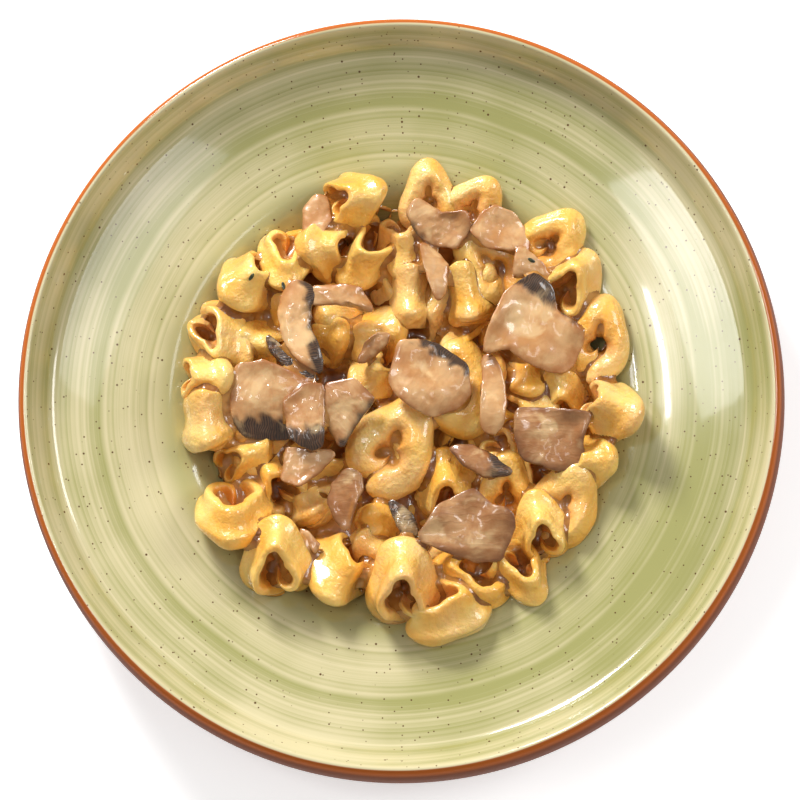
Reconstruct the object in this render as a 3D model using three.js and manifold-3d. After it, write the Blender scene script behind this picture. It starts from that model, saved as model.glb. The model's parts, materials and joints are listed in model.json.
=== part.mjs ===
// A deep glazed plate of tortellini with mushroom slices in a cream sauce.
// Millimetres, +Z up. The origin is the middle of the foot ring, on the table.
// Nodes: the plate, the heap of pasta as one solid, and each mushroom slice.

import * as THREE from 'three';
import { mergeVertices } from 'three/addons/utils/BufferGeometryUtils.js';
import Module from 'manifold-3d';

const wasm = await Module();
wasm.setup();

// The plate: a flat well, a smooth wall up to a wide rim, and an upright lip.
const plateRadius = 140;
const plateHeight = 48;
const wallThickness = 5.2;
const footOuterRadius = 61;
const footInnerRadius = 55;
const footRounding = 1;
const baseUnderside = 2.6;
const floorRadius = 50;
const floorHeight = 7.8;
const shoulderRadius = 88;
const shoulderHeight = 27;
const rimRadius = 125;
const rimHeight = 34.5;
const lipInnerRadius = 135;
const lipCrest = 1.2;
const lipBottom = 27.5;
const lipUnderside = 26.4;
const roundSides = 48;

// The pile of pasta: a dome, highest in the middle.
const pileRadius = 86;
const pileTop = 36;
const pileEdge = 31;
const coreDepth = 9;
const contactGap = 0.3;
const mergeDistance = 1e-3;

// One piece of pasta: a ring, thick at its belly, with a raised flap over the belly.
const ringRadius = 8.1;
const bellyRadius = 5.7;
const endRadius = 2.8;
const flapHeight = 8.8;
const flapLean = 0.3;
const ringStretch = 1.1;
const ringSquash = 0.84;
const ringReach = THREE.MathUtils.degToRad(166);
const sectionSides = 6;
const ringSteps = 9;

const sliceThickness = 2.8;

// x, y, lift over the pile, turn, tilt, lean, size and flap of each piece of pasta.
// turn is the belly's direction, tilt raises the belly, lean rolls the ring about it.
const pastaPlaces = [
  [-16, 74, 0, 10, 50, 0, 0.95, 0.7],
  [10, 74, 1, 90, 12, 180, 0.95, 0.2],
  [55, 57, 1, 45, 15, 180, 1, 0.2],
  [-42, 53, 1, -90, 40, 0, 1, 0.3],
  [-27, 56, 2, 180, 66, 0, 1.1, 0.3],
  [-13, 54, 2, 235, 42, 0, 1.1, 1.2],
  [1, 57, -1, -80, 45, 0, 1, 0.9],
  [3, 34, 2, -90, 80, 0, 1.1, 1.3],
  [33, 49, 1, 130, 10, 180, 1.1, 0.2],
  [25, 35, 3, -75, 80, 0, 1.1, 1.3],
  [-57, 43, 1, 225, 60, 0, 1, 0.8],
  [-66, 24, 1, -60, 15, 20, 1.05, 0.8],
  [-51, 21, 2, 160, 60, 0, 1, 0.5],
  [-70, 8, 1, 0, 65, 0, 1, 0.5],
  [-70, -12, 2, -85, 80, 0, 1.1, 1.2],
  [-46, -29, 1, 120, 32, 0, 1.05, 0.8],
  [-61, -41, 2, -90, 50, 0, 1.2, 0.3],
  [-45, -59, 1, 90, 30, 0, 1.1, 0.6],
  [-24, -62, 2, -100, 50, -35, 1.08, 0.8],
  [1, -68, 1, 90, 30, 0, 1.2, 0.9],
  [15, -78, 2, 0, 10, -35, 1.1, 0.8],
  [27, -64, 1, 170, 8, 10, 1.05, 0.6],
  [43, -62, 1, -60, 12, -15, 0.95, 0.6],
  [51, -48, 1, 100, 30, 0, 1, 0.8],
  [59, -39, 1, 60, 15, 180, 1.15, 0.2],
  [17, -32, 2, 95, 30, 0, 1.08, 0.9],
  [38, -33, 0, 90, 30, 180, 0.95, 0.2],
  [-3, -18, 1, 60, 10, 180, 1.3, 0.2],
  [17, 6, 0, -60, 5, 180, 1.35, 0.2],
  [-9, 10, 1, -135, 48, 0, 0.95, 0.8],
  [-26, 24, 0, 0, 78, 0, 0.95, 0.4],
  [62, 42, 1, 60, 20, 0, 1, 1],
  [72, 21, 1, 80, 5, 180, 1.1, 0.2],
  [59, 3, -1, 90, 60, 0, 0.95, 0.5],
  [78, -5, 1, -25, 60, 0, 1.05, 0.8],
  [69, -23, 0, 0, 60, 0, 1, 0.4],
];

// The middle of each mushroom slice over the plate with its lift over the pile, how far it
// tips along x and y, and its corners round that middle.
const slicePlaces = [
  {
    at: [-31, 67, 1.5],
    tip: [0.3, -0.1],
    corners: [[-5, 3], [-0.5, 9], [4.5, 8], [6, -1], [0.5, -10], [-4, -8], [-5, -3]],
  },
  {
    at: [13.5, 63.5, 3.5],
    tip: [0, 0.2],
    corners: [[-12, 5], [-7.5, 10.5], [2, 4.6], [11.5, 5], [12.5, -2], [7, -9], [-3, -7], [-8, -3]],
  },
  {
    at: [37, 62, 3],
    tip: [-0.2, 0.1],
    corners: [[-12, -1], [-7.5, 6], [-2, 9], [5, 6], [10.5, -2], [10, -9], [3, -8], [-6, -7]],
  },
  {
    at: [12.5, 46.5, 1.5],
    tip: [-0.2, 0],
    corners: [[-6, 11], [-1, 10], [5.3, 2.6], [4.3, -8], [0.7, -12], [-2.5, -3], [-4.5, 4]],
  },
  {
    at: [-37.5, 28, 5.4],
    corners: [
      [-0.5, 16], [-5.5, 10.5], [-7.5, 3.5], [-5.5, -6.5], [-0.5, -14], [10.7, -21.5], [9, -11],
      [5, -2.5], [5.5, 6.5], [7.5, 12],
    ],
  },
  {
    at: [-51, -1, 4],
    tip: [-0.1, 0.15],
    corners: [
      [-9, 13], [2, 15], [17, 8], [14, -4], [11, -14], [0.5, -14], [-6, -13.5], [-9.5, -9], [-11, -2],
    ],
  },
  {
    at: [-34.5, -6, 5],
    tip: [0, 0.06],
    corners: [
      [-8.5, 5], [0.5, 11.5], [7.5, 11], [7, -6], [7, -11.5], [3, -14], [-2.5, -11.5], [-6.5, -7],
    ],
  },
  {
    at: [-20.5, -3.5, 3.5],
    tip: [0.1, 0.2],
    corners: [[-7, 9], [4, 10.5], [12, 3], [3, -9], [-0.7, -16], [-7, -6]],
  },
  {
    at: [-36, -24.5, 0.5],
    corners: [[-5.5, 7], [4, 6], [14, 5.5], [7, -2.5], [-1, -8], [-8, -5.5]],
  },
  {
    at: [-20, -35.5, 1.5],
    tip: [0, 0.2],
    corners: [[0.5, 10], [6, 8], [7, 3], [4, -4.5], [1, -14], [-3.5, -10], [-7, -2.5], [-5, 4.5]],
  },
  {
    at: [11, 7, 4.2],
    tip: [-0.03, 0.06],
    corners: [
      [-11.5, 14], [-3, 14], [3, 12.5], [14, 5], [15, -6.5], [10, -11.5], [0.5, -15], [-11.5, -8],
      [-15.5, -1],
    ],
  },
  {
    at: [-10, 18.5, 3],
    tip: [0, 0.2],
    corners: [[-6, -6], [-3, 1.5], [2, 5.5], [6.5, 5], [6, 1.5], [2, -2.5], [-3, -6]],
  },
  {
    at: [47, 25.5, 5.6],
    tip: [-0.08, 0.1],
    corners: [
      [1.5, 20.5], [8.5, 16], [10.5, 6], [16, 3], [21, -3], [15, -16], [9, -17], [-1.5, -13], [-8, -8],
      [-18, -11], [-14.5, 0.5], [-9, 12.5],
    ],
  },
  {
    at: [33.5, 0.5, 2.5],
    corners: [
      [-4.5, 15], [0, 16], [4, 8.5], [5.5, -2], [4.5, -10.5], [0.7, -15], [-4.5, -12.5], [-4, 0],
      [-3.5, 8],
    ],
  },
  {
    at: [56, -15, 5],
    tip: [0.05, 0.1],
    corners: [
      [-14, 11], [-1, 10.5], [14.5, 9], [10.5, -1.5], [12.5, -12.5], [0, -12], [-12, -8], [-15, 2],
    ],
  },
  {
    at: [25, -48, 5.6],
    tip: [0.02, 0.08],
    corners: [
      [-11, 8.5], [2, 15], [8, 9], [16, 6.5], [17.5, 1], [12, -12], [3, -12.5], [-8.5, -9],
      [-19.5, -4],
    ],
  },
  {
    at: [1, -44.5, 2],
    corners: [[-6, 7], [-3, 7.5], [4, 2], [6.5, -6], [0.5, -8], [-3, -1]],
  },
  {
    at: [29, -23, -0.5],
    corners: [[-12.5, 5.5], [-3, 6.5], [5, 2.5], [13.5, -4], [9, -5.5], [2, -6.5], [-6, -2]],
  },
  {
    at: [-33, -52, 0.5],
    corners: [[-4, 5], [-0.5, 4], [4, -1.5], [2, -5], [-3, 0]],
  },
  {
    at: [47, 48, 4],
    tip: [-0.1, 0.1],
    corners: [[-5, 6.5], [-2.5, 8], [5.5, 1], [9.5, -5.5], [7.5, -7], [-1, -4], [-6, -4.5]],
  },
];
const stemArm = {
  at: [-20, 36.5, 5.6],
  corners: [[-14, 4], [0, 5], [6, 3.5], [10.5, -3.5], [10, -6.5], [3.5, -3.5], [-6, -2.5], [-14, -3]],
};
const stemmedSlice = 4;

const materials = {
  plate: new THREE.MeshStandardMaterial({ color: 0xcfc590, roughness: 0.2, metalness: 0 }),
  pasta: new THREE.MeshStandardMaterial({ color: 0xecb364, roughness: 0.4, metalness: 0 }),
  mushroom: new THREE.MeshStandardMaterial({ color: 0xb9906d, roughness: 0.45, metalness: 0 }),
};

function stations(from, to, steps) {
  return Array.from({ length: steps }, (_, i) => from + ((to - from) * (i + 1)) / steps);
}

// Height of the plate's upper face at a radius: floor, well wall, rim, then the lip's hollow.
function plateFace(radius) {
  if (radius <= floorRadius) {
    return floorHeight;
  }
  if (radius <= shoulderRadius) {
    const rise = THREE.MathUtils.smoothstep(radius, floorRadius, shoulderRadius);
    return floorHeight + (shoulderHeight - floorHeight) * rise;
  }
  if (radius <= rimRadius) {
    const out = (radius - shoulderRadius) / (rimRadius - shoulderRadius);
    return shoulderHeight + (rimHeight - shoulderHeight) * out ** 1.3;
  }
  const out = (radius - rimRadius) / (lipInnerRadius - rimRadius);
  const lipRise = plateHeight - lipCrest - rimHeight;
  return rimHeight + lipRise * out ** 1.7;
}

// A closed profile of [radius, height] points turned about Z.
function turnProfile(points, sides) {
  const outline = points.map(([radius, height]) => new THREE.Vector2(radius, height));
  return new THREE.LatheGeometry(outline, sides).rotateX(Math.PI / 2);
}

function toSolid(geometry) {
  geometry.deleteAttribute('normal');
  geometry.deleteAttribute('uv');
  const merged = mergeVertices(geometry, mergeDistance);
  const mesh = new wasm.Mesh({
    numProp: 3,
    vertProperties: merged.getAttribute('position').array,
    triVerts: new Uint32Array(merged.getIndex().array),
  });
  return new wasm.Manifold(mesh);
}

function toGeometry(solid) {
  const mesh = solid.getMesh();
  const geometry = new THREE.BufferGeometry();
  geometry.setAttribute('position', new THREE.BufferAttribute(mesh.vertProperties, 3));
  geometry.setIndex(new THREE.BufferAttribute(mesh.triVerts, 1));
  geometry.computeVertexNormals();
  return geometry;
}

// A cut leaves crumbs and hidden hollows behind, so only the largest outer shell is kept.
// Merging at 32 bits can part off another hollow, so this goes on until one body is left.
function outerShell(solid) {
  let pieces = solid.decompose();
  do {
    const largest = pieces.reduce((best, piece) => (piece.volume() > best.volume() ? piece : best));
    pieces = toSolid(toGeometry(largest)).decompose();
  } while (pieces.length > 1);
  return pieces[0];
}

function makePlate() {
  const topRadii = [
    ...stations(lipInnerRadius, rimRadius, 3),
    ...stations(rimRadius, shoulderRadius, 2),
    ...stations(shoulderRadius, floorRadius, 5),
  ];
  const undersideRadii = [...stations(footOuterRadius, shoulderRadius, 3), rimRadius];
  const underside = (radius) => plateFace(radius) - wallThickness;
  const profile = [
    [0, baseUnderside],
    [footInnerRadius - footRounding, baseUnderside],
    [footInnerRadius, 0],
    [footOuterRadius - footRounding, 0],
    [footOuterRadius, footRounding],
    [footOuterRadius, underside(footOuterRadius)],
    ...undersideRadii.map((radius) => [radius, underside(radius)]),
    [lipInnerRadius, lipUnderside],
    [(lipInnerRadius + 3 * plateRadius) / 4, (lipUnderside + lipBottom) / 2],
    [plateRadius, lipBottom],
    [lipInnerRadius + 2 * lipCrest, plateHeight - lipCrest],
    [lipInnerRadius + lipCrest, plateHeight],
    [lipInnerRadius, plateFace(lipInnerRadius)],
    ...topRadii.map((radius) => [radius, plateFace(radius)]),
    [0, floorHeight],
  ];
  return turnProfile(profile, roundSides);
}

// The room over the plate, a small gap clear of its face, which the food is cut to.
function makeRoom() {
  const radii = stations(floorRadius, shoulderRadius, 5);
  const profile = [
    [0, floorHeight + contactGap],
    [floorRadius, floorHeight + contactGap],
    ...radii.map((radius) => [radius - contactGap, plateFace(radius) + contactGap]),
    [rimRadius, rimHeight + contactGap],
    [rimRadius, plateHeight],
    [0, plateHeight],
  ];
  return toSolid(turnProfile(profile, roundSides));
}

function pileHeight(radius) {
  return pileTop - (pileTop - pileEdge) * (radius / pileRadius) ** 2;
}

// The middle of the pile, which fills the gaps between the pieces. The room cuts its base.
function makeCore() {
  const radii = stations(pileRadius, 0, 6);
  const profile = [
    [0, 0],
    [pileRadius, 0],
    [pileRadius, pileEdge - coreDepth],
    ...radii.map((radius) => [radius, pileHeight(radius) - coreDepth]),
  ];
  return toSolid(turnProfile(profile, roundSides));
}

// Where a point of a round ball goes on one piece of pasta: its poles become the ring's
// two pinched ends and its girth the rounded section with the flap on top.
function pastaPoint(point, flap) {
  const along = 1 - Math.acos(THREE.MathUtils.clamp(point.y, -1, 1)) / (Math.PI / 2);
  const around = Math.atan2(point.z, point.x);
  const angle = along * ringReach;
  const belly = Math.cos(along * Math.PI * 0.5) ** 1.5;
  const closing = Math.min(1, (1 - Math.abs(along)) * 6);
  const radius = (endRadius + (bellyRadius - endRadius) * belly) * closing;
  const flapRise = flapHeight * flap * (1 - Math.abs(along)) * closing;
  const upper = Math.max(0, Math.sin(around)) ** 5;
  const out = ringRadius + radius * Math.cos(around) - flapLean * flapRise * upper;
  const axial = radius * Math.sin(around) + flapRise * upper + along;
  return new THREE.Vector3(out * Math.cos(angle), out * Math.sin(angle), axial);
}

// A piece is placed so that its highest point is at its lift over the pile.
function makePasta([x, y, lift, turn, tilt, lean, size, flap]) {
  const ball = new THREE.SphereGeometry(1, sectionSides, ringSteps);
  const position = ball.getAttribute('position');
  const turned = new THREE.Matrix4().makeRotationZ(THREE.MathUtils.degToRad(turn));
  turned.multiply(new THREE.Matrix4().makeRotationY(THREE.MathUtils.degToRad(-tilt)));
  turned.multiply(new THREE.Matrix4().makeRotationX(THREE.MathUtils.degToRad(lean)));
  turned.multiply(new THREE.Matrix4().makeScale(size * ringStretch, size * ringSquash, size));
  let highest = -Infinity;
  for (let i = 0; i < position.count; i += 1) {
    const point = pastaPoint(new THREE.Vector3().fromBufferAttribute(position, i), flap);
    point.applyMatrix4(turned);
    position.setXYZ(i, point.x, point.y, point.z);
    highest = Math.max(highest, point.z);
  }
  ball.translate(x, y, pileHeight(Math.hypot(x, y)) + lift - highest);
  return toSolid(ball);
}

// A slice of even thickness that follows the pile under it. margin makes it larger all
// round, as the cutter for what lies beside it.
function makeSlice({ at: [x, y, lift], tip = [0, 0], corners }, margin) {
  const outline = corners.map(([dx, dy]) => new THREE.Vector2(dx, dy));
  outline.forEach((corner) => corner.setLength(corner.length() + 2 * margin));
  const geometry = new THREE.ExtrudeGeometry(new THREE.Shape(outline), {
    depth: sliceThickness + 2 * margin,
    bevelEnabled: false,
  });
  const position = geometry.getAttribute('position');
  for (let i = 0; i < position.count; i += 1) {
    const dx = position.getX(i);
    const dy = position.getY(i);
    const middle = pileHeight(Math.hypot(x + dx, y + dy)) + lift + dx * tip[0] + dy * tip[1];
    const height = middle - sliceThickness / 2 - margin + position.getZ(i);
    position.setXYZ(i, x + dx, y + dy, height);
  }
  return toSolid(geometry);
}

function makeSliceAt(index, margin) {
  const slice = makeSlice(slicePlaces[index], margin);
  if (index !== stemmedSlice) {
    return slice;
  }
  return slice.add(makeSlice(stemArm, margin));
}

// Slices that lie higher keep their shape, and cut those that lie lower.
function makeSlices(room) {
  const order = slicePlaces.map((_, index) => index);
  order.sort((a, b) => slicePlaces[b].at[2] - slicePlaces[a].at[2]);
  const solids = [];
  let taken = null;
  for (const index of order) {
    const slice = makeSliceAt(index, 0).intersect(room);
    solids[index] = outerShell(taken ? slice.subtract(taken) : slice);
    const cutter = makeSliceAt(index, contactGap);
    taken = taken ? taken.add(cutter) : cutter;
  }
  return { solids, taken };
}

function makeHeap(room, taken) {
  let heap = makeCore();
  for (const place of pastaPlaces) {
    heap = heap.add(makePasta(place));
  }
  return outerShell(heap.intersect(room).subtract(taken));
}

function addNode(parent, name, geometry, material) {
  const mesh = new THREE.Mesh(geometry, material);
  mesh.name = name;
  parent.add(mesh);
}

const platedMeal = new THREE.Group();
const room = makeRoom();
const { solids, taken } = makeSlices(room);
addNode(platedMeal, 'plate', makePlate(), materials.plate);
addNode(platedMeal, 'tortellini_heap', toGeometry(makeHeap(room, taken)), materials.pasta);
solids.forEach((solid, index) => {
  const name = `mushroom_${String(index + 1).padStart(2, '0')}`;
  addNode(platedMeal, name, toGeometry(solid), materials.mushroom);
});

export default platedMeal;
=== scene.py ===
# A deep glazed plate of tortellini with mushroom slices in a cream sauce.
import json
import math
import random
import bmesh
import bpy
from mathutils import Matrix, Vector, noise
from mathutils.bvhtree import BVHTree

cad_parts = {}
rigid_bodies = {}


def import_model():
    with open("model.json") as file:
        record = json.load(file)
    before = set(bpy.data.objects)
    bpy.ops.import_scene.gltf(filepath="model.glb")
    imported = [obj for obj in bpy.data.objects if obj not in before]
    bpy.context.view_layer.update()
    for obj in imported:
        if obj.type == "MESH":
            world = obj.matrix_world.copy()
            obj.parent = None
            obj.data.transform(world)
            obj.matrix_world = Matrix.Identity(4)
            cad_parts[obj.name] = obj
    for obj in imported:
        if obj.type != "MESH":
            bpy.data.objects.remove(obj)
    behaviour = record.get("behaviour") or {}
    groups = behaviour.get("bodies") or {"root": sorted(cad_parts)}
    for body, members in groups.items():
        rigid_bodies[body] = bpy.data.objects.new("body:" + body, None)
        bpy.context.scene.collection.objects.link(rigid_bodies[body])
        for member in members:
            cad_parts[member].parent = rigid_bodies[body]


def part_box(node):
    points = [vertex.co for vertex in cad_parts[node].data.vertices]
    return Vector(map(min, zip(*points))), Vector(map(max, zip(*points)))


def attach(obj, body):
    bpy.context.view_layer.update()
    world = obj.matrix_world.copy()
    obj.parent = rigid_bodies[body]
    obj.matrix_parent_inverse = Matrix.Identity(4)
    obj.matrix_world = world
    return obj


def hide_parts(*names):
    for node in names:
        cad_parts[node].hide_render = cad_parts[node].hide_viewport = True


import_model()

scene = bpy.context.scene
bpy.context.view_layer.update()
mm = 0.001
noise.seed_set(1)  # noise vectors take their offsets from this seed
plateLow, plateHigh = (Vector(corner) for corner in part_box("plate"))


def smooth(edge0, edge1, value):
    t = min(1.0, max(0.0, (value - edge0) / (edge1 - edge0)))
    return t * t * (3 - 2 * t)


def blend(a, b, share):
    return a + (b - a) * share


def newPiece(name, bm, material, shade=True):
    mesh = bpy.data.meshes.new(name)
    bm.to_mesh(mesh)
    bm.free()
    if shade:
        mesh.polygons.foreach_set("use_smooth", [True] * len(mesh.polygons))
    mesh.materials.append(material)
    piece = bpy.data.objects.new(name, mesh)
    scene.collection.objects.link(piece)
    return piece


def srgb(red, green, blue):
    channel = lambda c: c / 12.92 if c <= 0.04045 else ((c + 0.055) / 1.055) ** 2.4
    return tuple(channel(c / 255) for c in (red, green, blue)) + (1.0,)


class Nodes:  # short ways to add and join shader nodes
    def __init__(self, name):
        self.material = bpy.data.materials.new(name)
        self.material.use_nodes = True
        self.tree = self.material.node_tree
        self.shader = self.tree.nodes["Principled BSDF"]

    def add(self, kind, inputs=None, **settings):
        node = self.tree.nodes.new(kind)
        for key, value in settings.items():
            setattr(node, key, value)
        for key, value in (inputs or {}).items():
            self.put(node.inputs[key], value)
        return node

    def put(self, socket, value):
        if isinstance(value, bpy.types.NodeSocket):
            self.tree.links.new(value, socket)
        else:
            socket.default_value = value

    def math(self, operation, a, b=0.0, clamp=False):
        node = self.add("ShaderNodeMath", {0: a, 1: b}, operation=operation, use_clamp=clamp)
        return node.outputs[0]

    def ramp(self, value, low, high):
        node = self.add("ShaderNodeMapRange", {"Value": value, "From Min": low, "From Max": high},
                        interpolation_type="SMOOTHSTEP")
        return node.outputs["Result"]

    def noise(self, vector, scale, detail=3.0, roughness=0.5, distortion=0.0):
        node = self.add("ShaderNodeTexNoise", {"Vector": vector, "Scale": scale, "Detail": detail,
                                               "Roughness": roughness, "Distortion": distortion})
        return node.outputs["Fac"]

    def mix(self, share, a, b):
        node = self.add("ShaderNodeMix", {"Factor": share}, data_type="RGBA")
        self.put(node.inputs[6], a)
        self.put(node.inputs[7], b)
        return node.outputs[2]

    def place(self):
        return self.add("ShaderNodeTexCoord").outputs["Object"]

    def attribute(self, name):
        return self.add("ShaderNodeAttribute", attribute_name=name).outputs["Fac"]

    def bump(self, height, strength, distance, under=None):
        node = self.add("ShaderNodeBump", {"Height": height, "Strength": strength,
                                           "Distance": distance})
        if under is not None:
            self.put(node.inputs["Normal"], under)
        return node.outputs["Normal"]


view = dict(
    distance=2.8,
    lean=7.0,  # degrees away from straight down
    side=20.0,  # degrees of that lean towards the right
    target=(-0.0001, -0.0007, 0.036),
    lens=346.0,
)


def makeCamera():
    lean = math.radians(view["lean"])
    side = math.radians(view["side"])
    target = Vector(view["target"])
    away = Vector((math.sin(lean) * math.sin(side), -math.sin(lean) * math.cos(side), math.cos(lean)))
    forward = -away
    right = forward.cross(Vector((0, 1, 0))).normalized()
    up = right.cross(forward)
    camera = bpy.data.objects.new("camera", bpy.data.cameras.new("camera"))
    camera.data.lens = view["lens"]
    camera.data.clip_end = 20
    turn = Matrix((right, up, -forward)).transposed().to_4x4()
    camera.matrix_world = Matrix.Translation(target + away * view["distance"]) @ turn
    scene.collection.objects.link(camera)
    scene.camera = camera


makeCamera()
print("camera ready")


studio = dict(
    lamps=[  # name, place, size, watts, and how far its long side is turned from y towards x
        ("key", (-0.75, 1.45, 1.05), (0.5, 0.5), 45.0, 0),
        ("fill", (1.5, 0.4, 1.1), (0.8, 0.6), 12.0, 0),
        ("spark", (-0.46, 0.12, 1.6), (0.2, 0.03), 1.1, -10),
        ("panelRight", (0.42, -0.07, 1.5), (0.5, 0.17), 1.0, 29),
        ("panelLeft", (-0.6, -0.02, 1.5), (0.46, 0.2), 2.2, -23),
    ],
    aim=(0, 0, 0.03),
    daylight=0.3,
    daylightColour=(1.0, 0.985, 0.96, 1),
    floorSize=4.0,
    floorColour=(0.93, 0.93, 0.93, 1),
    floorGlow=0.5,
)


def makeStudio():
    world = bpy.data.worlds.new("studio")
    scene.world = world
    world.use_nodes = True
    sky = world.node_tree.nodes["Background"]
    sky.inputs["Color"].default_value = studio["daylightColour"]
    sky.inputs["Strength"].default_value = studio["daylight"]
    for name, place, size, watts, slant in studio["lamps"]:
        data = bpy.data.lights.new(name, "AREA")
        data.shape = "RECTANGLE"
        data.size, data.size_y = size
        data.energy = watts
        lamp = bpy.data.objects.new(name, data)
        lamp.location = place
        along = Vector((math.sin(math.radians(slant)), math.cos(math.radians(slant)), 0))
        back = (Vector(place) - Vector(studio["aim"])).normalized()
        across = back.cross(along).normalized()
        lamp.rotation_euler = Matrix((across.cross(back), across, back)).transposed().to_euler()
        scene.collection.objects.link(lamp)


def makeFloor():
    make = Nodes("floor")
    make.shader.inputs["Base Color"].default_value = studio["floorColour"]
    make.shader.inputs["Emission Color"].default_value = (1, 1, 1, 1)
    make.shader.inputs["Emission Strength"].default_value = studio["floorGlow"]
    make.shader.inputs["Roughness"].default_value = 0.6
    bm = bmesh.new()
    bmesh.ops.create_grid(bm, x_segments=1, y_segments=1, size=studio["floorSize"] / 2)
    newPiece("floor", bm, make.material, shade=False)


makeStudio()
makeFloor()
scene.view_settings.view_transform = "Standard"
print("studio ready")


plate = dict(
    radius=(plateHigh.x - plateLow.x) / 2,
    height=plateHigh.z,
    wall=5.2 * mm,
    footOuter=61 * mm,
    footInner=55 * mm,
    baseUnderside=2.6 * mm,
    floorRadius=50 * mm,
    floorHeight=7.8 * mm,
    shoulderRadius=88 * mm,
    shoulderHeight=27 * mm,
    rimRadius=125 * mm,
    rimHeight=34.5 * mm,
    lipInner=135 * mm,
    lipCrest=1.2 * mm,
    lipBottom=27.5 * mm,
    lipUnderside=26.4 * mm,
    rimCurve=1.3,
    lipCurve=1.7,
    steps=256,
)


def plateFace(radius):  # height of the plate's upper face
    p = plate
    if radius <= p["shoulderRadius"]:
        rise = smooth(p["floorRadius"], p["shoulderRadius"], radius)
        return blend(p["floorHeight"], p["shoulderHeight"], rise)
    if radius <= p["rimRadius"]:
        out = (radius - p["shoulderRadius"]) / (p["rimRadius"] - p["shoulderRadius"])
        return blend(p["shoulderHeight"], p["rimHeight"], out ** p["rimCurve"])
    out = (radius - p["rimRadius"]) / (p["lipInner"] - p["rimRadius"])
    return blend(p["rimHeight"], p["height"] - p["lipCrest"], out ** p["lipCurve"])


def stations(start, end, count):
    return [blend(start, end, (i + 1) / count) for i in range(count)]


def plateProfile():
    p = plate
    under = lambda radius: plateFace(radius) - p["wall"]
    points = [(0, p["baseUnderside"])]
    points += [(r, p["baseUnderside"]) for r in stations(0, p["footInner"] - 1.2 * mm, 4)]
    points += [(p["footInner"], 0.6 * mm), (p["footInner"] + 0.8 * mm, 0), (p["footOuter"] - 1 * mm, 0)]
    points += [(p["footOuter"], 1 * mm), (p["footOuter"] + 0.3 * mm, under(p["footOuter"]) - 1 * mm)]
    points += [(r, under(r)) for r in stations(p["footOuter"], p["shoulderRadius"], 9)]
    points += [(r, under(r)) for r in stations(p["shoulderRadius"], p["rimRadius"], 6)]
    points += [(p["lipInner"] - 3 * mm, p["lipUnderside"] - 0.1 * mm)]
    points += [(p["lipInner"] + 1.5 * mm, p["lipUnderside"] + 1 * mm)]
    points += [(p["radius"] - 1.2 * mm, p["lipBottom"] - 2.6 * mm)]
    points += [(p["radius"] - 0.1 * mm, p["lipBottom"])]
    points += [(p["radius"] - 0.5 * mm, p["lipBottom"] + 9 * mm)]
    points += [(p["lipInner"] + 2.5 * p["lipCrest"], p["height"] - 1.6 * mm)]
    points += [(p["lipInner"] + 1.7 * p["lipCrest"], p["height"] - 0.25 * mm)]
    points += [(p["lipInner"] + 0.9 * p["lipCrest"], p["height"])]
    points += [(p["lipInner"] + 0.3 * p["lipCrest"], p["height"] - 0.4 * p["lipCrest"])]
    points += [(r, plateFace(r)) for r in [p["lipInner"]] + stations(p["lipInner"], p["rimRadius"], 8)]
    points += [(r, plateFace(r)) for r in stations(p["rimRadius"], p["shoulderRadius"], 10)]
    points += [(r, plateFace(r)) for r in stations(p["shoulderRadius"], p["floorRadius"], 14)]
    points += [(r, p["floorHeight"]) for r in stations(p["floorRadius"], 0, 5)]
    return points


def makePlate():
    bm = bmesh.new()
    verts = [bm.verts.new((radius, 0, height)) for radius, height in plateProfile()]
    edges = [bm.edges.new(pair) for pair in zip(verts, verts[1:])]
    bmesh.ops.spin(bm, geom=verts + edges, axis=(0, 0, 1), cent=(0, 0, 0), dvec=(0, 0, 0),
                   angle=math.tau, steps=plate["steps"], use_merge=True)
    bmesh.ops.remove_doubles(bm, verts=bm.verts[:], dist=0.02 * mm)
    bmesh.ops.recalc_face_normals(bm, faces=bm.faces[:])
    piece = newPiece("glazedPlate", bm, glazeMaterial())
    piece.data.materials.append(lipEdgeShadedMaterial())
    for face in piece.data.polygons:  # the lip's outside is brown and less glossy
        if math.hypot(face.center.x, face.center.y) > plate["lipInner"] + 2 * mm:
            face.material_index = 1
    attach(piece, "root")
    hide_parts("plate")


glaze = dict(
    cream=srgb(213, 202, 160),
    sage=srgb(160, 158, 98),
    leaf=srgb(122, 134, 60),
    brown=srgb(176, 92, 34),
    # the brown in painted shade, for the lower lip and the underside
    shadedBrown=srgb(114, 54, 12),
    speck=srgb(92, 62, 30),
    specks=((170.0, 0.045, 0.5), (300.0, 0.06, 0.4), (420.0, 0.075, 0.35)),  # scale, size and share
    greenWell=(94 * mm, 84 * mm),  # radii between which the well turns greener
    brownLip=(136.8 * mm, 137.3 * mm),  # radii between which the lip turns brown
    shadedLip=(46 * mm, 40 * mm),  # heights between which painted shade darkens the brown lower down
)


# Brown glaze, with painted shade darkening it lower down the lip's outside and on the underside.
def brownWithShade(make, z):
    return make.mix(make.ramp(z, *glaze["shadedLip"]), glaze["brown"], glaze["shadedBrown"])


def lipEdgeShadedMaterial():
    make = Nodes("brownGlazeShaded")
    z = make.add("ShaderNodeSeparateXYZ", {0: make.place()}).outputs[2]
    make.put(make.shader.inputs["Base Color"], brownWithShade(make, z))
    make.shader.inputs["Roughness"].default_value = 0.5
    make.shader.inputs["Specular IOR Level"].default_value = 0.04
    return make.material


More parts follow.
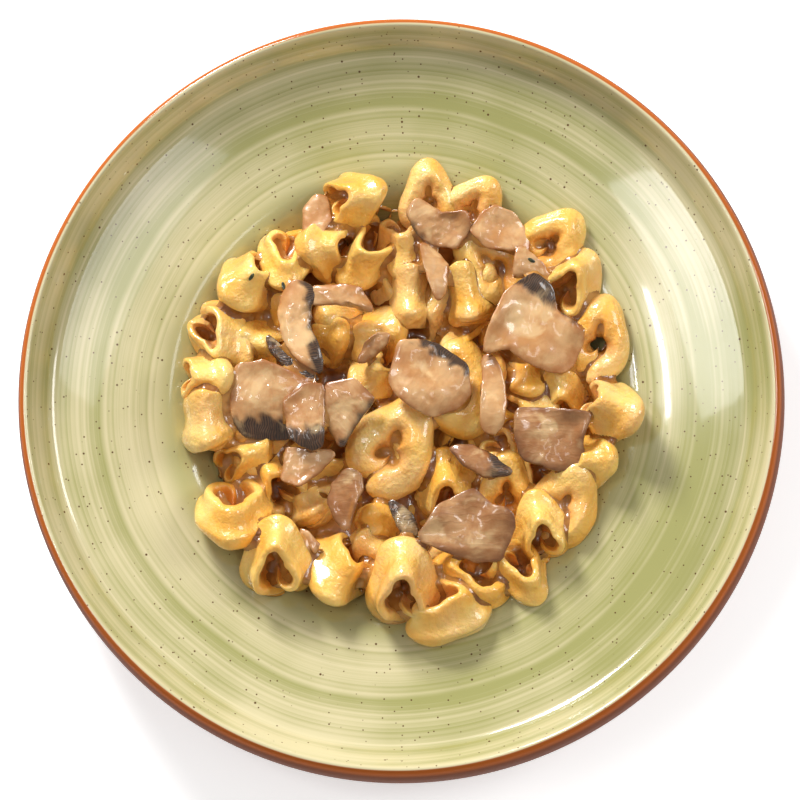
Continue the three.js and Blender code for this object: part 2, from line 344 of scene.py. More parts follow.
def glazeMaterial():
    make = Nodes("glaze")
    where = make.place()
    split = make.add("ShaderNodeSeparateXYZ", {0: where})
    x, y, z = split.outputs
    radius = make.math("SQRT", make.math("ADD", make.math("MULTIPLY", x, x),
                                         make.math("MULTIPLY", y, y)))
    wobble = make.math("MULTIPLY", make.noise(where, 9.0, 2.0), 6 * mm)
    ring = make.math("ADD", radius, wobble)
    ringPlace = make.add("ShaderNodeCombineXYZ", {0: ring}).outputs[0]
    fine = make.noise(ringPlace, 420.0, 5.0, 0.65)
    broad = make.noise(ringPlace, 75.0, 2.0, 0.6)
    streak = make.math("ADD", make.math("MULTIPLY", fine, 0.6), make.math("MULTIPLY", broad, 0.7))
    patch = make.noise(where, 14.0, 3.0)
    streak = make.math("ADD", streak, make.math("MULTIPLY", make.math("SUBTRACT", patch, 0.5), 0.5))
    green = make.ramp(streak, 0.52, 0.8)
    wellShade = make.ramp(radius, *glaze["greenWell"])
    green = make.math("MAXIMUM", green, make.math("MULTIPLY", wellShade, 0.75))
    colour = make.mix(green, glaze["cream"], glaze["sage"])
    leafy = make.ramp(fine, 0.62, 0.72)
    colour = make.mix(make.math("MULTIPLY", leafy, 0.5), colour, glaze["leaf"])
    for scale, cut, share in glaze["specks"]:
        cell = make.add("ShaderNodeTexVoronoi", {"Vector": where, "Scale": scale, "Randomness": 1.0})
        keep = make.math("LESS_THAN", make.add("ShaderNodeSeparateColor",
                         {0: cell.outputs["Color"]}).outputs[0], share)
        spot = make.ramp(cell.outputs["Distance"], cut * 2.2, cut)
        colour = make.mix(make.math("MULTIPLY", spot, keep), colour, glaze["speck"])
    uneven = make.math("ADD", radius, make.math("MULTIPLY", patch, 1 * mm))
    edge = make.ramp(uneven, *glaze["brownLip"])
    normalZ = make.add("ShaderNodeSeparateXYZ",
                       {0: make.add("ShaderNodeNewGeometry").outputs["Normal"]}).outputs[2]
    down = make.ramp(normalZ, 0.05, -0.05)
    brownPart = make.math("MAXIMUM", edge, down)
    # the brown lip and underside, with painted shade lower down
    colour = make.mix(brownPart, colour, brownWithShade(make, z))
    make.put(make.shader.inputs["Base Color"], colour)
    make.shader.inputs["Roughness"].default_value = 0.14
    make.shader.inputs["Coat Weight"].default_value = 0.6
    make.shader.inputs["Coat Roughness"].default_value = 0.04
    relief = make.bump(fine, 0.25, 0.2 * mm)
    make.put(make.shader.inputs["Normal"], make.bump(patch, 0.2, 0.6 * mm, relief))
    return make.material


makePlate()
print("plate ready")


pile = dict(
    radius=86 * mm,
    top=36 * mm,
    edge=31 * mm,
)

pasta = dict(
    ringRadius=8.1 * mm,
    bellyRadius=5.7 * mm,
    endRadius=4.0 * mm,
    flapHigh=8.8 * mm,
    flapLow=5.2 * mm,
    flapHalf=2.5 * mm,
    inward=(0.22, -0.25),  # how far the flap leans over the hole, on rings and on leaves
    corners=0.15,  # how three-cornered the ring is
    ripple=0.5 * mm,
    crease=0.8 * mm,  # the pressed line between the belly and the flap
    crossDrop=1.4 * mm,  # how far the ends pass above and below each other
    closingFrom=0.86,  # share of the way to an end from which it rounds off
    wave=0.12,
    bellyLumps=0.24,
    broadLumps=(75, 1.3 * mm),  # scale and height
    smallLumps=(230, 0.22 * mm),
    reach=math.radians(196),
    overlap=2.4 * mm,
    stretch=1.1,
    squash=(0.76, 0.93),
    leafSquash=0.68,
    flattened=4.5 * mm,  # how much of a piece the plate flattens
    underCount=28,
    underRadius=56 * mm,
    underLift=-13.0,
    fineSteps=(48, 64),
    coarseSteps=(24, 36),
)

# x, y, lift over the pile, turn, tilt, lean, size and flap of each piece of pasta.
# turn is the belly's direction, tilt raises the belly, lean rolls the ring about it.
pastaPlaces = [
    (-16, 74, 0, 10, 50, 0, 0.95, 0.7),
    (10, 74, 1, 90, 12, 180, 0.95, 0.2),
    (26, 70, -2, 60, 20, 180, 0.9, 0.2),
    (55, 57, 1, 45, 15, 180, 1, 0.2),
    (-42, 53, 1, -90, 40, 0, 1, 0.3),
    (-27, 56, 2, 180, 66, 0, 1.1, 0.3),
    (-13, 54, 2, 235, 42, 0, 1.1, 1.2),
    (1, 57, -1, -80, 45, 0, 1, 0.9),
    (3, 34, 2, -90, 80, 0, 1.1, 1.3),
    (33, 49, 1, 130, 10, 180, 1.1, 0.2),
    (25, 35, 3, -75, 80, 0, 1.1, 1.3),
    (-57, 43, 1, 225, 60, 0, 1, 0.8),
    (-66, 24, 1, -60, 15, 20, 1.05, 0.8),
    (-51, 21, 2, 160, 60, 0, 1, 0.5),
    (-70, 8, 1, 0, 65, 0, 1, 0.5),
    (-70, -12, 2, -85, 80, 0, 1.1, 1.2),
    (-57, -20, -3, 30, 50, 0, 0.95, 0.6),
    (-46, -29, 1, 120, 32, 0, 1.05, 0.8),
    (-61, -41, 2, -90, 50, 0, 1.2, 0.3),
    (-33, -38, -3, -60, 80, 0, 0.9, 0.3),
    (-45, -59, 1, 90, 30, 0, 1.1, 0.6),
    (-24, -62, 2, -100, 50, -35, 1.08, 0.8),
    (-9, -44, -2, 90, 80, 0, 0.9, 0.3),
    (-10, -54, -4, 150, 60, 0, 0.9, 0.5),
    (1, -68, 1, 90, 30, 0, 1.2, 0.9),
    (15, -78, 2, 0, 10, -35, 1.1, 0.8),
    (27, -64, 1, 170, 8, 10, 1.05, 0.6),
    (43, -62, 1, -60, 12, -15, 0.95, 0.6),
    (51, -48, 1, 100, 30, 0, 1, 0.8),
    (59, -39, 1, 60, 15, 180, 1.15, 0.2),
    (17, -32, 2, 95, 30, 0, 1.08, 0.9),
    (38, -33, 0, 90, 30, 180, 0.95, 0.2),
    (37, -18, -3, -45, 22, 0, 0.75, 0.5),
    (-3, -18, 1, 60, 10, 180, 1.3, 0.2),
    (17, 6, 0, -60, 5, 180, 1.35, 0.2),
    (-9, 10, 1, -135, 48, 0, 0.95, 0.8),
    (-13, 22, -2, 90, 78, 0, 1, 0.4),
    (-26, 24, 0, 0, 78, 0, 0.95, 0.4),
    (62, 42, 1, 60, 20, 0, 1, 1),
    (72, 21, 1, 80, 5, 180, 1.1, 0.2),
    (59, 3, -1, 90, 60, 0, 0.95, 0.5),
    (46, 8, -2, -90, 74, 0, 0.95, 0.4),
    (44, -4, -3, 0, 45, 0, 0.95, 0.4),
    (78, -5, 1, -25, 60, 0, 1.05, 0.8),
    (69, -23, 0, 0, 60, 0, 1, 0.4),
    (-43, 32, -3, 100, 60, 0, 0.9, 0.4),
    (-45, -8, -4, 30, 40, 0, 1, 0.4),
    (26, 20, -4, 200, 40, 0, 1, 0.4),
]


def pileHeight(radius):
    return blend(pile["top"], pile["edge"], (radius / pile["radius"]) ** 2)


# Where a point of a round ball goes on one piece of pasta: its poles become the ring's
# two ends, its girth the rounded belly with a thick-edged flap standing on it.
def pastaPoint(along, around, flap, seed):
    p = pasta
    side = math.copysign(1.0, along)
    share = abs(along)
    belly = math.cos(share * math.pi / 2) ** 1.2
    lumps = noise.noise(Vector((along * 3.2 + seed, math.cos(around), math.sin(around))))
    nearEnd = max(0.0, (share - p["closingFrom"]) / (1 - p["closingFrom"]))
    closing = math.sqrt(max(0.0, 1 - nearEnd ** 2))
    radius = blend(p["endRadius"], p["bellyRadius"], belly) * (1 + p["bellyLumps"] * lumps) * closing
    high = p["flapHigh"] * flap
    rise = blend(min(p["flapLow"], high), high, (1 - share) ** 1.3) * smooth(1.0, 0.7, share)
    leaf = smooth(0.9, 1.2, flap)
    inward = blend(*p["inward"], leaf)
    up = math.sin(around)
    out = math.cos(around)
    crease = p["crease"] * math.exp(-((up - 0.34) / 0.16) ** 2) * smooth(-0.2, 0.3, out)
    outward = out * (radius - crease * closing)
    axial = radius * up
    if up > 0:
        thin = smooth(0.15, 0.65, up)
        edge = min(radius, p["flapHalf"] * closing) * abs(out) ** 0.5
        outward = math.copysign(blend(abs(outward), edge, thin), out)
        flapPart = up ** 2
        axial = radius * up * 0.9 + rise * flapPart
        wave = noise.noise(Vector((along * 2.6 + seed, 7.0, flapPart)))
        outward -= rise * flapPart * (inward + p["wave"] * wave)
        outward += p["ripple"] * flapPart * noise.noise(Vector((along * 9 + seed, 3.0, 0.0)))
    crossing = smooth(0.6, 1.0, share) * side
    angle = along * p["reach"]
    ring = p["ringRadius"] * (1 + p["corners"] * math.cos(3 * angle)) + outward
    ring += crossing * p["overlap"]
    return Vector((ring * math.cos(angle), ring * math.sin(angle), axial - p["crossDrop"] * crossing))


def restOnPlate(bm):  # flattens what would sink into the plate
    for vert in bm.verts:
        vert.co.z = max(vert.co.z, plateFace(math.hypot(vert.co.x, vert.co.y)) + 0.3 * mm)


def addPasta(bm, row, number, steps):
    x, y, lift, turn, tilt, lean, size, flap = row
    rng = random.Random(number * 7 + 3)
    seed = rng.uniform(0, 90)
    squash = blend(rng.uniform(*pasta["squash"]), pasta["leafSquash"], smooth(0.9, 1.2, flap))
    ball = bmesh.new()
    bmesh.ops.create_uvsphere(ball, u_segments=steps[0], v_segments=steps[1], radius=1)
    turned = (Matrix.Rotation(math.radians(turn), 4, "Z")
              @ Matrix.Rotation(math.radians(-tilt), 4, "Y")
              @ Matrix.Rotation(math.radians(lean), 4, "X")
              @ Matrix.Diagonal((size * pasta["stretch"], size * squash, size, 1)))
    holeShade = ball.verts.layers.float.new("holeShade")
    flapTip = ball.verts.layers.float.new("flap")
    tone = ball.verts.layers.float.new("tone")
    shade = rng.random()
    broadScale, broadHeight = pasta["broadLumps"]
    smallScale, smallHeight = pasta["smallLumps"]
    for vert in ball.verts:
        along = 1 - 2 * math.acos(max(-1.0, min(1.0, vert.co.z))) / math.pi
        around = math.atan2(-vert.co.y, vert.co.x)
        # painted shade on the ring's inner side, round the hole
        vert[holeShade] = max(0.0, -math.cos(around))
        vert[flapTip] = max(0.0, math.sin(around)) ** 2
        vert[tone] = shade
        point = turned @ pastaPoint(along, around, flap, seed)
        broad = noise.noise_vector(point * broadScale + Vector((seed, 0, 0))) * broadHeight
        small = noise.noise_vector(point * smallScale + Vector((0, seed, 0))) * smallHeight
        vert.co = point + broad + small
    highest = max(vert.co.z for vert in ball.verts)
    height = pileHeight(math.hypot(x, y) * mm) + lift * mm - highest
    bmesh.ops.translate(ball, verts=ball.verts[:], vec=(x * mm, y * mm, height))
    sunk = max(plateFace(math.hypot(vert.co.x, vert.co.y)) - vert.co.z for vert in ball.verts)
    bmesh.ops.translate(ball, verts=ball.verts[:], vec=(0, 0, max(0.0, sunk - pasta["flattened"])))
    restOnPlate(ball)
    held = bpy.data.meshes.new("pastaOne")
    ball.to_mesh(held)
    ball.free()
    bm.from_mesh(held)
    bpy.data.meshes.remove(held)


# The lower layer: pieces lying every way, on a spiral that spreads them evenly.
def underRows():
    rng = random.Random(11)
    rows = []
    for number in range(pasta["underCount"]):
        radius = pasta["underRadius"] * math.sqrt((number + 0.5) / pasta["underCount"]) / mm
        angle = number * math.radians(137.5)
        rows.append((radius * math.cos(angle), radius * math.sin(angle),
                     pasta["underLift"] + rng.uniform(-1.5, 1.5), rng.uniform(0, 360),
                     rng.uniform(10, 70), rng.choice((0, 180)), rng.uniform(0.95, 1.1),
                     rng.uniform(0.2, 0.9)))
    return rows


dough = dict(
    pale=srgb(255, 212, 118),
    yellow=srgb(246, 180, 72),
    # the ring's inner side round the hole, deeper orange as painted shade
    shadedOrange=srgb(206, 112, 16),
    creamy=srgb(240, 202, 144),
)


def doughMaterial():
    make = Nodes("dough")
    where = make.place()
    broad = make.noise(where, 60.0, 3.0)
    fine = make.noise(where, 900.0, 2.0)
    colour = make.mix(make.ramp(broad, 0.35, 0.7), dough["yellow"], dough["pale"])
    # painted shade: deeper orange on the inner side round the hole
    colour = make.mix(make.math("MULTIPLY", make.attribute("holeShade"), 0.75), colour, dough["shadedOrange"])
    coating = make.ramp(make.math("ADD", make.noise(where, 48.0, 4.0, 0.6, 0.5),
                                  make.math("MULTIPLY", make.attribute("tone"), 0.22)), 0.55, 0.85)
    colour = make.mix(make.math("MULTIPLY", coating, 0.5), colour, dough["creamy"])
    make.put(make.shader.inputs["Base Color"], colour)
    make.shader.inputs["Roughness"].default_value = 0.32
    make.shader.inputs["Subsurface Weight"].default_value = 0.25
    make.shader.inputs["Subsurface Radius"].default_value = (1.0, 0.5, 0.15)
    make.shader.inputs["Subsurface Scale"].default_value = 0.002
    make.shader.inputs["Coat Weight"].default_value = 0.85
    make.shader.inputs["Coat Roughness"].default_value = 0.05
    film = make.noise(where, 330.0, 3.0, 0.6)
    relief = make.bump(fine, 0.12, 0.2 * mm)
    make.put(make.shader.inputs["Normal"], make.bump(film, 0.7, 1.3 * mm, relief))
    return make.material


def makePasta():
    material = doughMaterial()
    half = len(pastaPlaces) // 2
    fine, coarse = pasta["fineSteps"], pasta["coarseSteps"]
    for name, rows, first, steps in (("tortelliniBack", pastaPlaces[:half], 0, fine),
                                     ("tortelliniFront", pastaPlaces[half:], half, fine),
                                     ("tortelliniUnder", underRows(), 100, coarse)):
        bm = bmesh.new()
        for number, row in enumerate(rows):
            addPasta(bm, row, first + number, steps)
        bmesh.ops.recalc_face_normals(bm, faces=bm.faces[:])
        piece = newPiece(name, bm, material)
        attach(piece, "root")
        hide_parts("tortellini_heap")


makePasta()
print("pasta ready")


slices = dict(
    thickness=2.8 * mm,
    around=64,
    rows=40,
    wrinkle=1.3,
    bend=2.6,
    droop=0.5,
    gillSpacing=0.8,
)

# Each mushroom slice: its middle over the plate and lift over the pile, how dark it is,
# which way its gills lie and how far out they start, which edge curls up and how much,
# and its corners round the middle. Lengths are in millimetres, directions in degrees.
slicePlaces = [
    dict(at=(-31, 67, 1.5), dark=0.35, tip=(0.3, -0.1),
         corners=[(-5, 3), (-0.5, 9), (4.5, 8), (6, -1), (0.5, -10), (-4, -8), (-5, -3)]),
    dict(at=(13.5, 63.5, 3.5), dark=0.45, gills=(215, 6.5), curl=(20, 2.5), tip=(0, 0.2),
         corners=[(-12, 5), (-7.5, 10.5), (2, 4.6), (11.5, 5), (12.5, -2), (7, -9), (-3, -7), (-8, -3)]),
    dict(at=(37, 62, 3), dark=0.25, tip=(-0.2, 0.1),
         corners=[(-12, -1), (-7.5, 6), (-2, 9), (5, 6), (10.5, -2), (10, -9), (3, -8), (-6, -7)]),
    dict(at=(12.5, 46.5, 1.5), dark=0.35, tip=(-0.2, 0),
         corners=[(-6, 11), (-1, 10), (5.3, 2.6), (4.3, -8), (0.7, -12), (-2.5, -3), (-4.5, 4)]),
    dict(at=(-37.5, 28, 5.4), dark=0.2, gills=(5, 3.6), curl=(180, -1.5),
         corners=[(-0.5, 16), (-5.5, 10.5), (-7.5, 3.5), (-5.5, -6.5), (-0.5, -14), (10.7, -21.5),
                  (9, -11), (5, -2.5), (5.5, 6.5), (7.5, 12)]),
    dict(at=(-51, -1, 4), dark=0.3, gills=(-90, 6), curl=(90, 1.5), tip=(-0.1, 0.15),
         corners=[(-9, 13), (2, 15), (17, 8), (14, -4), (11, -14), (0.5, -14), (-6, -13.5), (-9.5, -9),
                  (-11, -2)]),
    dict(at=(-34.5, -6, 5), dark=0.5, gills=(-85, 5.5), curl=(120, 1), tip=(0, 0.06),
         corners=[(-8.5, 5), (0.5, 11.5), (7.5, 11), (7, -6), (7, -11.5), (3, -14), (-2.5, -11.5),
                  (-6.5, -7)]),
    dict(at=(-20.5, -3.5, 3.5), dark=0.55, gills=(-40, 7), tip=(0.1, 0.2),
         corners=[(-7, 9), (4, 10.5), (12, 3), (3, -9), (-0.7, -16), (-7, -6)]),
    dict(at=(-36, -24.5, 0.5), dark=0.4, curl=(-90, 1.5),
         corners=[(-5.5, 7), (4, 6), (14, 5.5), (7, -2.5), (-1, -8), (-8, -5.5)]),
    dict(at=(-20, -35.5, 1.5), dark=0.8, curl=(-70, 2), tip=(0, 0.2),
         corners=[(0.5, 10), (6, 8), (7, 3), (4, -4.5), (1, -14), (-3.5, -10), (-7, -2.5), (-5, 4.5)]),
    dict(at=(11, 7, 4.2), dark=0.35, gills=(58, 8), curl=(235, 1), tip=(-0.03, 0.06),
         corners=[(-11.5, 14), (-3, 14), (3, 12.5), (14, 5), (15, -6.5), (10, -11.5), (0.5, -15),
                  (-11.5, -8), (-15.5, -1)]),
    dict(at=(-10, 18.5, 3), dark=0.6, curl=(120, 2), tip=(0, 0.2),
         corners=[(-6, -6), (-3, 1.5), (2, 5.5), (6.5, 5), (6, 1.5), (2, -2.5), (-3, -6)]),
    dict(at=(47, 25.5, 5.6), dark=0.2, gills=(58, 10.5), curl=(165, 1.5), tip=(-0.08, 0.1),
         corners=[(1.5, 20.5), (8.5, 16), (10.5, 6), (16, 3), (21, -3), (15, -16), (9, -17), (-1.5, -13),
                  (-8, -8), (-18, -11), (-14.5, 0.5), (-9, 12.5)]),
    dict(at=(33.5, 0.5, 2.5), dark=0.3, curl=(180, 1.5),
         corners=[(-4.5, 15), (0, 16), (4, 8.5), (5.5, -2), (4.5, -10.5), (0.7, -15), (-4.5, -12.5),
                  (-4, 0), (-3.5, 8)]),
    dict(at=(56, -15, 5), dark=0.8, curl=(30, 3), tip=(0.05, 0.1),
         corners=[(-14, 11), (-1, 10.5), (14.5, 9), (10.5, -1.5), (12.5, -12.5), (0, -12), (-12, -8),
                  (-15, 2)]),
    dict(at=(25, -48, 5.6), dark=0.75, curl=(195, 2.5), tip=(0.02, 0.08),
         corners=[(-11, 8.5), (2, 15), (8, 9), (16, 6.5), (17.5, 1), (12, -12), (3, -12.5), (-8.5, -9),
                  (-19.5, -4)]),
    dict(at=(1, -44.5, 2), dark=1.0, gills=(0, -12),
         corners=[(-6, 7), (-3, 7.5), (4, 2), (6.5, -6), (0.5, -8), (-3, -1)]),
    dict(at=(29, -23, -0.5), dark=1.0, gills=(0, 3),
         corners=[(-12.5, 5.5), (-3, 6.5), (5, 2.5), (13.5, -4), (9, -5.5), (2, -6.5), (-6, -2)]),
    dict(at=(-33, -52, 0.5), dark=0.7,
         corners=[(-4, 5), (-0.5, 4), (4, -1.5), (2, -5), (-3, 0)]),
    dict(at=(47, 48, 4), dark=0.4, tip=(-0.1, 0.1),
         corners=[(-5, 6.5), (-2.5, 8), (5.5, 1), (9.5, -5.5), (7.5, -7), (-1, -4), (-6, -4.5)]),
]
stemArm = dict(at=(-20, 36.5, 5.6), dark=0.3, curl=(-30, -3),
               corners=[(-14, 4), (0, 5), (6, 3.5), (10.5, -3.5), (10, -6.5), (3.5, -3.5), (-6, -2.5),
                        (-14, -3)])
stemmedSlice = 5  # the slice with the stem and the fringe
gillFringe = dict(at=(-40, 14, 3.2), dark=1.0, gills=(0, -20),
                  corners=[(-9.5, 10), (-5.5, 9), (-2.5, 3.5), (3, -1), (10.5, -5), (11, -8.5),
                           (4, -7.5), (-2, -3.5), (-8, 4)])


def edgeDistance(corners, angle):  # from the middle to the outline
    aim = (math.cos(angle), math.sin(angle))
    furthest = 1.0
    for a, b in zip(corners, corners[1:] + corners[:1]):
        side = (b[0] - a[0], b[1] - a[1])
        turn = aim[0] * side[1] - aim[1] * side[0]
        if abs(turn) < 1e-9:
            continue
        reach = (a[0] * side[1] - a[1] * side[0]) / turn
        share = (a[0] * aim[1] - a[1] * aim[0]) / turn
        if reach > 0 and 0 <= share <= 1:
            furthest = max(furthest, reach)
    return furthest


def roundedEdge(corners, angle):
    spread = [math.radians(step) for step in (-6, -3, 0, 3, 6)]
    return sum(edgeDistance(corners, angle + step) for step in spread) / len(spread)


def addSlice(bm, row, seed):
    x, y, lift = row["at"]
    gillWay, gillStart = row.get("gills", (0, 99))
    curlWay, curl = row.get("curl", (0, 0))
    tip = row.get("tip", (0, 0))
    gillAim = Vector((math.cos(math.radians(gillWay)), math.sin(math.radians(gillWay))))
    ball = bmesh.new()
    bmesh.ops.create_uvsphere(ball, u_segments=slices["around"], v_segments=slices["rows"], radius=1)
    gill, edge, across, dark = (ball.verts.layers.float.new(name)
                                for name in ("gill", "edge", "across", "dark"))
    half = slices["thickness"] / 2 / mm
    reaches = {}
    for vert in ball.verts:
        polar = math.acos(max(-1.0, min(1.0, vert.co.z)))
        angle = math.atan2(vert.co.y, vert.co.x)
        key = round(angle, 3)
        if key not in reaches:
            reaches[key] = roundedEdge(row["corners"], angle)
        out = math.sin(polar) ** 0.9
        flat = Vector((math.cos(angle), math.sin(angle))) * out * reaches[key]
        ragged = noise.noise_vector(Vector((flat.x * 0.35, flat.y * 0.35, seed)))
        flat += Vector((ragged.x, ragged.y)) * 0.45 * out ** 2
        vert[gill] = smooth(gillStart - 1, gillStart + 1.5, flat.dot(gillAim) + 2.4 * ragged.z)
        vert[edge] = out ** 7
        vert[across] = flat.cross(gillAim) + 1.2 * ragged.x
        vert[dark] = row["dark"]
        wrinkle = noise.noise(Vector((flat.x * 0.11, flat.y * 0.11, seed + 5))) * slices["wrinkle"]
        wrinkle += noise.noise(Vector((flat.x * 0.06, flat.y * 0.06, seed + 15))) * slices["bend"]
        wrinkle += noise.noise(Vector((flat.x * 0.5, flat.y * 0.5, seed + 9))) * 0.25
        curled = max(0.0, math.cos(angle - math.radians(curlWay))) ** 2 * smooth(0.5, 1.0, out) * curl
        level = math.copysign(abs(math.cos(polar)) ** 0.2, math.cos(polar)) * half
        level *= 1 - 0.35 * vert[gill]
        px, py = x + flat.x, y + flat.y
        middle = pileHeight(math.hypot(px, py) * mm) / mm + lift - slices["droop"] * out ** 4
        height = middle + level + wrinkle + curled + flat.x * tip[0] + flat.y * tip[1]
        height += vert[gill] * 0.12 * math.sin(vert[across] * math.tau / slices["gillSpacing"])
        vert.co = Vector((px, py, height)) * mm
    held = bpy.data.meshes.new("sliceOne")
    ball.to_mesh(held)
    ball.free()
    bm.from_mesh(held)
    bpy.data.meshes.remove(held)


mushroom = dict(
    pale=srgb(230, 184, 128),
    tan=srgb(208, 150, 90),
    brown=srgb(146, 88, 42),
    skin=srgb(186, 112, 50),
    darkSkin=srgb(70, 42, 28),
    gill=srgb(40, 24, 12),
    gillLight=srgb(104, 74, 50),
    cream=srgb(238, 204, 150),
)


def mushroomMaterial():
    make = Nodes("mushroom")
    where = make.place()
    dark = make.attribute("dark")
    edge = make.attribute("edge")
    gill = make.attribute("gill")
    across = make.attribute("across")
    broad = make.noise(where, 110.0, 4.0, 0.6)
    grain = make.noise(where, 420.0, 4.0, 0.65)
    colour = make.mix(make.ramp(broad, 0.35, 0.65), mushroom["pale"], mushroom["tan"])
    brownness = make.math("MULTIPLY", dark, make.math("ADD", broad, 0.45), clamp=True)
    colour = make.mix(make.math("MULTIPLY", brownness, 0.9), colour, mushroom["brown"])
    skin = make.mix(dark, mushroom["skin"], mushroom["darkSkin"])
    colour = make.mix(make.math("MULTIPLY", edge, make.ramp(broad, 0.3, 0.6)), colour, skin)
    ridge = make.math("SINE", make.math("MULTIPLY", across, math.tau / slices["gillSpacing"]))
    ridge = make.math("MULTIPLY", make.math("ADD", ridge, 1.0), make.math("MULTIPLY", grain, 0.7))
    gillColour = make.mix(ridge, mushroom["gill"], mushroom["gillLight"])
    colour = make.mix(gill, colour, gillColour)
    furrow = make.noise(make.add("ShaderNodeCombineXYZ", {0: across}).outputs[0], 0.5, 3.0, 0.6)
    streak = make.math("MULTIPLY", make.ramp(furrow, 0.45, 0.7), dark)
    colour = make.mix(make.math("MULTIPLY", streak, 0.45), colour, mushroom["brown"])
    film = make.noise(where, 75.0, 4.0, 0.55, 0.6)
    creamy = make.math("MULTIPLY", make.ramp(film, 0.52, 0.68), make.math("SUBTRACT", 1.0, edge))
    colour = make.mix(make.math("MULTIPLY", creamy, 0.6), colour, mushroom["cream"])
    make.put(make.shader.inputs["Base Color"], colour)
    make.shader.inputs["Roughness"].default_value = 0.34
    make.shader.inputs["Subsurface Weight"].default_value = 0.25
    make.shader.inputs["Subsurface Radius"].default_value = (1.0, 0.6, 0.4)
    make.shader.inputs["Subsurface Scale"].default_value = 0.0015
    make.shader.inputs["Coat Weight"].default_value = 0.9
    make.shader.inputs["Coat Roughness"].default_value = 0.07
    relief = make.bump(grain, 0.2, 0.3 * mm)
    relief = make.bump(make.math("MULTIPLY", furrow, dark), 0.45, 0.9 * mm, relief)
    make.put(make.shader.inputs["Normal"], make.bump(broad, 0.15, 0.7 * mm, relief))
    return make.material


def makeSlices():
    material = mushroomMaterial()
    for number, row in enumerate(slicePlaces, 1):
        bm = bmesh.new()
        addSlice(bm, row, number * 3.1)
        if number == stemmedSlice:
            addSlice(bm, stemArm, 70.3)
            addSlice(bm, gillFringe, 75.9)
        bmesh.ops.recalc_face_normals(bm, faces=bm.faces[:])
        piece = newPiece("mushroomSlice%02d" % number, bm, material)
        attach(piece, "root")
        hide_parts("mushroom_%02d" % number)


makeSlices()
print("mushrooms ready")


cream = dict(
    bedRadius=74 * mm,
    bedDepth=17 * mm,  # how far the bed's top lies under the top of the pile
    voxel=1.2 * mm,
    reach=1.0 * mm,  # gaps up to twice this wide fill up
    sink=0.75 * mm,  # how far the film lies under the skin of the pasta
    evenSteps=4,
    # both sauce colours are darkened brown as painted shade in the gaps where the sauce shows
    pale=srgb(202, 144, 68),
    deep=srgb(136, 80, 20),
)


def sauceAndShadeMaterial():
    make = Nodes("cream")
    where = make.place()
    colour = make.mix(make.ramp(make.noise(where, 90.0, 4.0), 0.35, 0.65), cream["pale"], cream["deep"])
    make.put(make.shader.inputs["Base Color"], colour)
    make.shader.inputs["Roughness"].default_value = 0.3
    make.shader.inputs["Subsurface Weight"].default_value = 0.35
    make.shader.inputs["Subsurface Radius"].default_value = (1.0, 0.7, 0.4)
    make.shader.inputs["Subsurface Scale"].default_value = 0.002
    make.shader.inputs["Coat Weight"].default_value = 0.8
    make.shader.inputs["Coat Roughness"].default_value = 0.08
    make.put(make.shader.inputs["Normal"], make.bump(make.noise(where, 320.0, 3.0), 0.3, 0.8 * mm))
    return make.material


def addBed(bm):  # the dome of sauce and pasta that nothing shows of
    base = lambda radius: plateFace(radius) + 0.3 * mm
    top = lambda radius: max(base(radius) + 0.5 * mm, pileHeight(radius) - cream["bedDepth"])
    edge = cream["bedRadius"]
    points = [(0, base(0))] + [(r, base(r)) for r in stations(0, edge, 14)]
    points += [(edge, top(edge))] + [(r, top(r)) for r in stations(edge, 0, 14)]
    verts = [bm.verts.new((radius, 0, height)) for radius, height in points]
    edges = [bm.edges.new(pair) for pair in zip(verts, verts[1:])]
    bmesh.ops.spin(bm, geom=verts + edges, axis=(0, 0, 1), cent=(0, 0, 0), dvec=(0, 0, 0),
                   angle=math.tau, steps=96, use_merge=True)
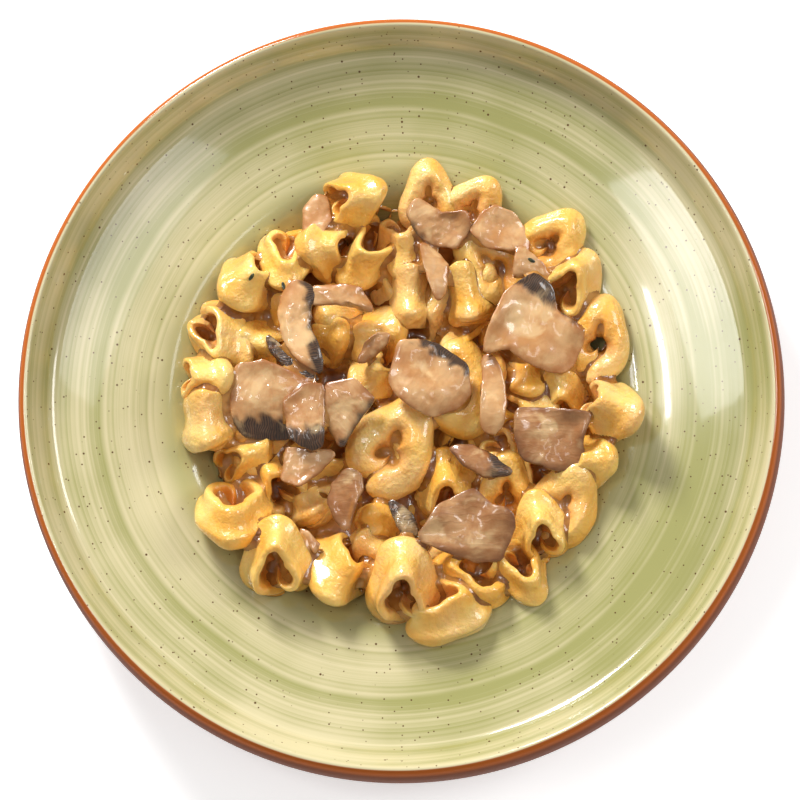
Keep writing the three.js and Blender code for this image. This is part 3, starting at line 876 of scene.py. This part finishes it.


# The sauce between the pieces: everything is swollen until narrow gaps close, and then
# shrunk to just under the skins, so that it shows only where pieces meet. Its colour is darkened brown
# as painted shade in those gaps.
def makeSauce(pieces):
    bm = bmesh.new()
    addBed(bm)
    bmesh.ops.remove_doubles(bm, verts=bm.verts[:], dist=0.02 * mm)
    bmesh.ops.recalc_face_normals(bm, faces=bm.faces[:])
    for piece in pieces:
        bm.from_mesh(piece.data)
    body = newPiece("creamSauceAndShade", bm, sauceAndShadeMaterial())
    for step, offset in (("swell", cream["reach"]), ("shrink", -cream["reach"] - cream["sink"])):
        wrap = body.modifiers.new(step + "Skin", "REMESH")
        wrap.mode = "VOXEL"
        wrap.voxel_size = cream["voxel"]
        even = body.modifiers.new(step + "Even", "SMOOTH")
        even.factor = 0.5
        even.iterations = cream["evenSteps"]
        move = body.modifiers.new(step, "DISPLACE")
        move.mid_level = 0
        move.strength = offset
    bpy.context.view_layer.update()
    shaped = bpy.data.meshes.new_from_object(body.evaluated_get(bpy.context.evaluated_depsgraph_get()))
    body.modifiers.clear()
    bm = bmesh.new()
    bm.from_mesh(shaped)
    restOnPlate(bm)
    for name in ("holeShade", "flap", "tone", "gill", "edge", "across", "dark"):
        layer = bm.verts.layers.float.get(name)
        if layer:
            bm.verts.layers.float.remove(layer)
    bm.to_mesh(shaped)
    bm.free()
    shaped.polygons.foreach_set("use_smooth", [True] * len(shaped.polygons))
    body.data = shaped
    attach(body, "root")
    print("sauce faces", len(shaped.polygons))


food = [piece for piece in scene.objects
        if piece.name.startswith(("tortellini", "mushroomSlice")) and piece.name != "tortellini_heap"]
makeSauce(food)
print("sauce ready")


herbs = dict(
    places=((-42.5, 41, 20), (48, 50, 110), (-54, 44, 60), (-3.5, 10, 140)),  # x, y and turn
    size=(3.2 * mm, 1.3 * mm, 0.4 * mm),
    green=srgb(70, 78, 30),
    dark=srgb(36, 40, 18),
)


def makeHerbs(pieces):
    make = Nodes("herb")
    shade = make.ramp(make.noise(make.place(), 900.0), 0.4, 0.6)
    make.put(make.shader.inputs["Base Color"], make.mix(shade, herbs["green"], herbs["dark"]))
    make.shader.inputs["Roughness"].default_value = 0.4
    make.shader.inputs["Coat Weight"].default_value = 0.7
    trees = []
    for piece in pieces:
        bm = bmesh.new()
        bm.from_mesh(piece.data)
        trees.append(BVHTree.FromBMesh(bm))
        bm.free()
    bm = bmesh.new()
    for x, y, turn in herbs["places"]:
        start = Vector((x * mm, y * mm, plate["height"] * 2))
        hits = [tree.ray_cast(start, Vector((0, 0, -1))) for tree in trees]
        place, normal = max((hit[:2] for hit in hits if hit[0]), key=lambda hit: hit[0].z)
        facing = normal.to_track_quat("Z", "Y").to_matrix().to_4x4()
        size = Matrix.Diagonal([side / 2 for side in herbs["size"]] + [1])
        turned = facing @ Matrix.Rotation(math.radians(turn), 4, "Z") @ size
        bmesh.ops.create_uvsphere(bm, u_segments=20, v_segments=12, radius=1,
                                  matrix=Matrix.Translation(place + normal * 0.1 * mm) @ turned)
    piece = newPiece("herbFlecks", bm, make.material)
    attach(piece, "root")


makeHerbs(food)
print("herbs ready")
